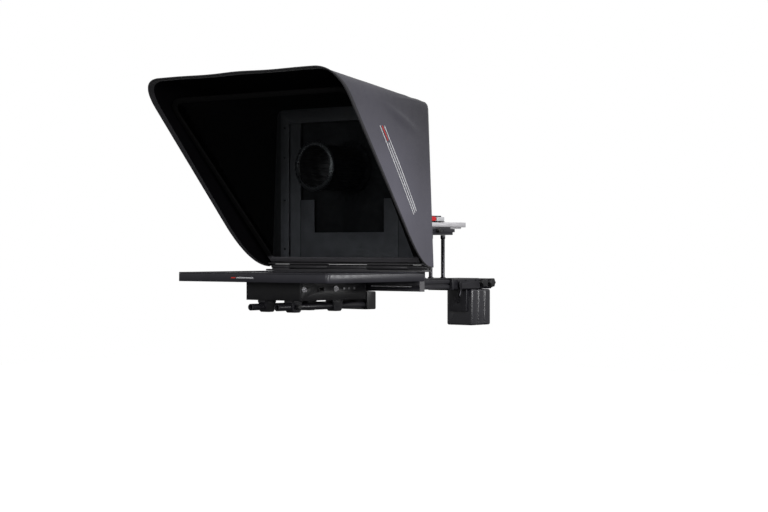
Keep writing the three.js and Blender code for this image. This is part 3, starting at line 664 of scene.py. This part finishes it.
def add_light_seals():
    """Black seals that close the joints round the rear wall and behind the long hinge."""
    low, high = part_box("hood_sill")
    plate("sill_seal", (low.x + 0.001, high.y + 0.0004, high.z - 0.004),
          (high.x - 0.001, high.y + 0.003, high.z + 0.0038), 0.0003, "hood", "black_plastic")
    screen_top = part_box("monitor_bezel")[1].z
    plate("leaf_seal", (low.x + 0.001, high.y + 0.002, screen_top + 0.0045),
          (high.x - 0.001, high.y + 0.0045, 0.077), 0.0003, "prompter", "black_plastic")
    wall_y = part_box("rear_panel")[1].y + 0.0004
    steps = 160
    step = 0.5 / steps
    points = []
    for i in range(steps + 1):
        share = i / steps
        here = wrap(rear_rim, share)
        along = wrap(rear_rim, min(1.0, share + step)) - wrap(rear_rim, max(0.0, share - step))
        inward = Vector((-along.z, 0, along.x)).normalized()
        if inward.dot(Vector((0, here.y, 0.3)) - here) < 0:
            inward.negate()
        back_y = wall_y + 0.0014
        for depth, y in ((0.0024, wall_y), (0.0024, back_y), (0.012, back_y), (0.012, wall_y)):
            at = here + inward * depth
            points.append((at.x, y, at.z))
    add_mesh("wall_seal", points, tube_faces(steps + 1, 4), "hood", "black_plastic", smooth=False)


# ---------------------------------------------------------------- lens curtain

RING_LOW, RING_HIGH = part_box("lens_ring")
SOCK_FRONT_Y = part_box("camera_sock")[0].y
CURTAIN_LOW, CURTAIN_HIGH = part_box("lens_curtain")
RING_CENTRE = (RING_LOW + RING_HIGH) / 2


def curtain_surface(out, turn):
    """Black cloth gathered at the hole and hung loose to the edges; out is 0 at the hole, 1 at the edge."""
    angle = math.tau * turn
    direction = Vector((math.cos(angle), 0, math.sin(angle)))
    reach_x = (CURTAIN_HIGH.x + CURTAIN_LAP) / max(abs(direction.x), 1e-6)
    edge_z = CURTAIN_HIGH.z - RING_CENTRE.z if direction.z > 0 else RING_CENTRE.z - CURTAIN_LOW.z
    reach_z = (edge_z + CURTAIN_LAP) / max(abs(direction.z), 1e-6)
    radius = HOLE_RADIUS + (min(reach_x, reach_z) - HOLE_RADIUS) * out
    at = RING_CENTRE + direction * radius
    gathers = math.sin(26 * angle) * math.exp(-5 * out) + 0.6 * math.sin(41 * angle + 1) * math.exp(-9 * out)
    hanging = math.sin(42 * at.x + 9 * at.z + 1.7 * math.sin(11 * at.z))
    drape = noise.noise(Vector((at.x * 9, 0.3, at.z * 6)))
    free = math.sin(math.pi * min(1.0, out * 1.05))
    depth = 0.0016 * gathers + free * (0.0042 * hanging + 0.006 * drape)
    slack = 0.0036 * (1 - out ** 6)
    return Vector((at.x, CURTAIN_HIGH.y + 0.0012 + slack + depth, at.z))


def sock_surface(back, turn):
    """The cloth sleeve from the ring (0) to the curtain (1), pleated and sagging in the middle."""
    angle = math.tau * turn
    pleats = 0.0014 * math.sin(30 * angle + 2.2 * back) + 0.001 * math.sin(47 * angle - 3.1 * back)
    rings = 0.0012 * math.sin(21 * back + 2 * math.sin(3 * angle))
    loose = math.sin(math.pi * back)
    flare = 0.014 * max(0.0, (back - 0.92) / 0.08) ** 2
    radius = HOLE_RADIUS + 0.0008 + flare + (0.35 + loose) * (pleats + rings)
    sag = -0.004 * loose
    y = SOCK_FRONT_Y + (CURTAIN_HIGH.y - 0.001 - SOCK_FRONT_Y) * back
    return Vector((radius * math.cos(angle), y, RING_CENTRE.z + radius * math.sin(angle) + sag))


def cloth_tube(name, surface, rows, columns, node):
    """A closed-round cloth made from surface(row, turn), with its first and last columns sewn together."""
    points, faces = grid(surface, rows, columns)
    cloth = add_mesh(name, points, faces, "hood", "black_fabric")
    sewn = bmesh.new()
    sewn.from_mesh(cloth.data)
    bmesh.ops.remove_doubles(sewn, verts=sewn.verts, dist=0.00002)
    sewn.to_mesh(cloth.data)
    sewn.free()
    cloth.data.materials[0] = finish_of("curtain_cloth")
    thick = cloth.modifiers.new("cloth", "SOLIDIFY")
    thick.thickness = 0.0009
    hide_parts(node)


def add_curtain():
    cloth_tube("curtain_cloth", curtain_surface, 40, 240, "lens_curtain")
    cloth_tube("sock_cloth", sock_surface, 40, 240, "camera_sock")


# ---------------------------------------------------------------- small pieces

def add_beam_trim():
    """End caps and a pale strip in the groove of the cross beam."""
    low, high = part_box("cross_beam")
    for side, x in (("left", low.x), ("right", high.x)):
        outer = math.copysign(0.0016, x)
        cap = plate("beam_cap_" + side, (min(x, x + outer), low.y - 0.0003, low.z - 0.0004),
                    (max(x, x + outer), high.y + 0.0003, high.z), 0.0006, "prompter", "charcoal_metal")
        cap.data.materials[0] = finish_of("cap_metal")
    plate("beam_strip", (0.105, low.y + 0.0004, 0.0162), (0.252, low.y + 0.0032, 0.0198), 0.0005,
          "prompter", "bright_aluminium")


def add_screw(name, place, facing, radius, body, slot="dark_steel"):
    """A socket-head screw standing on a face; facing is the way its head points."""
    sides = 24
    height = radius * 0.55
    rings = [(radius, -0.0006), (radius, height * 0.8), (radius * 0.88, height), (radius * 0.55, height)]
    points = [(r * math.cos(math.tau * i / sides), r * math.sin(math.tau * i / sides), h)
              for r, h in rings for i in range(sides)]
    socket = radius * 0.5
    for h in (height, height * 0.25):
        for i in range(sides):
            angle = math.tau * (i // 4) / 6
            points.append((socket * math.cos(angle), socket * math.sin(angle), h))
    rows = len(rings) + 2
    faces = tube_faces(rows, sides)
    turn = Vector(facing).to_track_quat("Z", "Y").to_matrix()
    points = [Vector(place) + turn @ Vector(point) for point in points]
    return add_mesh(name, points, faces, body, slot, smooth=False)


def add_wall_details():
    """Screws up the rear wall's frame and the dark joints beside the lower panel."""
    frame_low, frame_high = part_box("wall_frame")
    panel_low, panel_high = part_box("rear_panel")
    x = (frame_high.x + 0.229) / 2
    for side, sign in (("left", -1), ("right", 1)):
        for row, z in enumerate((0.125, 0.272, 0.40, 0.49)):
            add_screw(f"wall_screw_{side}_{row + 1}", (sign * x, frame_low.y, z), (0, -1, 0), 0.0034, "hood")
        joint_x = sign * panel_high.x
        plate("panel_joint_" + side, (joint_x - 0.0014, panel_low.y - 0.0003, panel_low.z + 0.001),
              (joint_x + 0.0014, panel_low.y + 0.001, panel_high.z - 0.0005), 0.0002,
              "hood", "black_plastic")


def add_metal_details():
    """Fastenings on the clamps, electronics box, riser, release base and sleeve."""
    for row in ("front", "rear"):
        for side, sign in (("left", -1), ("right", 1)):
            low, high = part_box(f"rod_clamp_{row}_{side}")
            outer = high.x if sign > 0 else low.x
            for end, y in (("a", low.y + 0.007), ("b", high.y - 0.007)):
                place = (outer, y, high.z - 0.0028)
                add_screw(f"clamp_screw_{row}_{side}_{end}", place, (sign, 0, 0), 0.0022, "prompter")
    low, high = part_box("electronics_box")
    for index, y in enumerate((low.y + 0.004, low.y + 0.096, low.y + 0.19, high.y - 0.005)):
        for end, z in (("low", low.z + 0.0045), ("high", high.z - 0.0045)):
            add_screw(f"box_screw_{index + 1}_{end}", (high.x, y, z), (1, 0, 0), 0.0018, "prompter")
    low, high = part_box("riser_top_plate")
    for index, y in enumerate((low.y + 0.02, low.y + 0.05, low.y + 0.1)):
        add_screw(f"riser_screw_{index + 1}", (high.x, y, 0.182), (1, 0, 0), 0.0026, "riser")
    low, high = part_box("quick_release_base")
    spots = ((-0.028, low.y + 0.012), (0.028, low.y + 0.012), (-0.028, high.y - 0.012))
    for index, (x, y) in enumerate(spots):
        add_screw(f"base_screw_{index + 1}", (x, y, high.z - 0.0012), (0, 0, 1), 0.003, "camera_plate")
    low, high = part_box("weight_sleeve")
    for index, y in enumerate((low.y + 0.03, low.y + 0.075, high.y - 0.02)):
        add_screw(f"sleeve_screw_{index + 1}", (0.046, y, 0.026), (1, 0, 0), 0.0022, "counterweight")


# ---------------------------------------------------------------- plain decoration

def surface_strip(name, surface, corners, width, slot, body, lift):
    """A thin printed stripe that lies on a surface between two (row, column) places on it."""
    steps = 40
    (row0, column0), (row1, column1) = corners
    middle = []
    for i in range(steps + 1):
        t = i / steps
        row = row0 + (row1 - row0) * t
        column = column0 + (column1 - column0) * t
        here = surface(row, column)
        ahead = surface(row + (row1 - row0) * 0.01, column + (column1 - column0) * 0.01)
        along = (ahead - here).normalized()
        normal = (surface(row + 0.01, column) - here).cross(surface(row, column + 0.002) - here).normalized()
        middle.append((here, along, normal))
    points = []
    outward = 1 if middle[0][2].x * middle[0][0].x > 0 else -1
    for here, along, normal in middle:
        normal = normal * outward
        across = along.cross(normal).normalized() * width / 2
        for offset, height in ((-1, -0.0004), (1, -0.0004), (1, lift), (-1, lift)):
            points.append(here + across * offset + normal * height)
    return add_mesh(name, points, tube_faces(steps + 1, 4), body, slot, smooth=False)


def part_way(ends, t):
    """A (depth, share) place part of the way from one end of a stripe to the other."""
    return tuple(a + (b - a) * t for a, b in zip(*ends))


def add_hood_stripes():
    """Three plain pale pinstripes down each side, with a short red dash on the middle one."""
    (row0, column0), (row1, column1) = HOOD_STRIPES
    for side in ("right", "left"):
        for line in (-1, 0, 1):
            shift = line * STRIPE_PITCH
            ends = [(row0 + shift, column0), (row1 + shift * 1.5, column1)]
            if side == "left":
                ends = [(row, 1 - column) for row, column in ends]
            name = f"hood_stripe_{side}_{line + 2}"
            if line == 0:
                dash_ends = [ends[0], part_way(ends, RED_SHARE)]
                dash = surface_strip(name + "_dash", hood_surface, dash_ends, STRIPE_WIDTH,
                                     "red_plastic", "hood", STRIPE_LIFT)
                dash.data.materials[0] = finish_of("print_red")
                ends[0] = part_way(ends, RED_SHARE + 0.02)
            stripe = surface_strip(name, hood_surface, ends, STRIPE_WIDTH,
                                   "grey_plastic", "hood", STRIPE_LIFT)
            stripe.data.materials[0] = finish_of("print_pale")


def add_screen_stripe():
    """A plain pale dash with a red end on the screen's front edge."""
    low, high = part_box("monitor_shell")
    z = 0.0455
    for name, x0, x1, slot, ink in (("screen_dash_pale", -0.052, 0.012, "grey_plastic", "print_pale"),
                                    ("screen_dash_red", -0.072, -0.056, "red_plastic", "print_red")):
        dash = plate(name, (x0, low.y - 0.0003, z - 0.0016), (x1, low.y + 0.0005, z + 0.0016), 0.0001,
                     "prompter", slot)
        dash.data.materials[0] = finish_of(ink)


add_camera()
add_world()
add_lights()
add_floor()
dress_cad_nodes()
add_hood_shell()
add_hood_trim()
add_light_seals()
add_curtain()
add_beam_trim()
add_wall_details()
add_metal_details()
add_hood_stripes()
add_screen_stripe()

SCENE.view_settings.view_transform = "Standard"
SCENE.view_settings.look = "None"
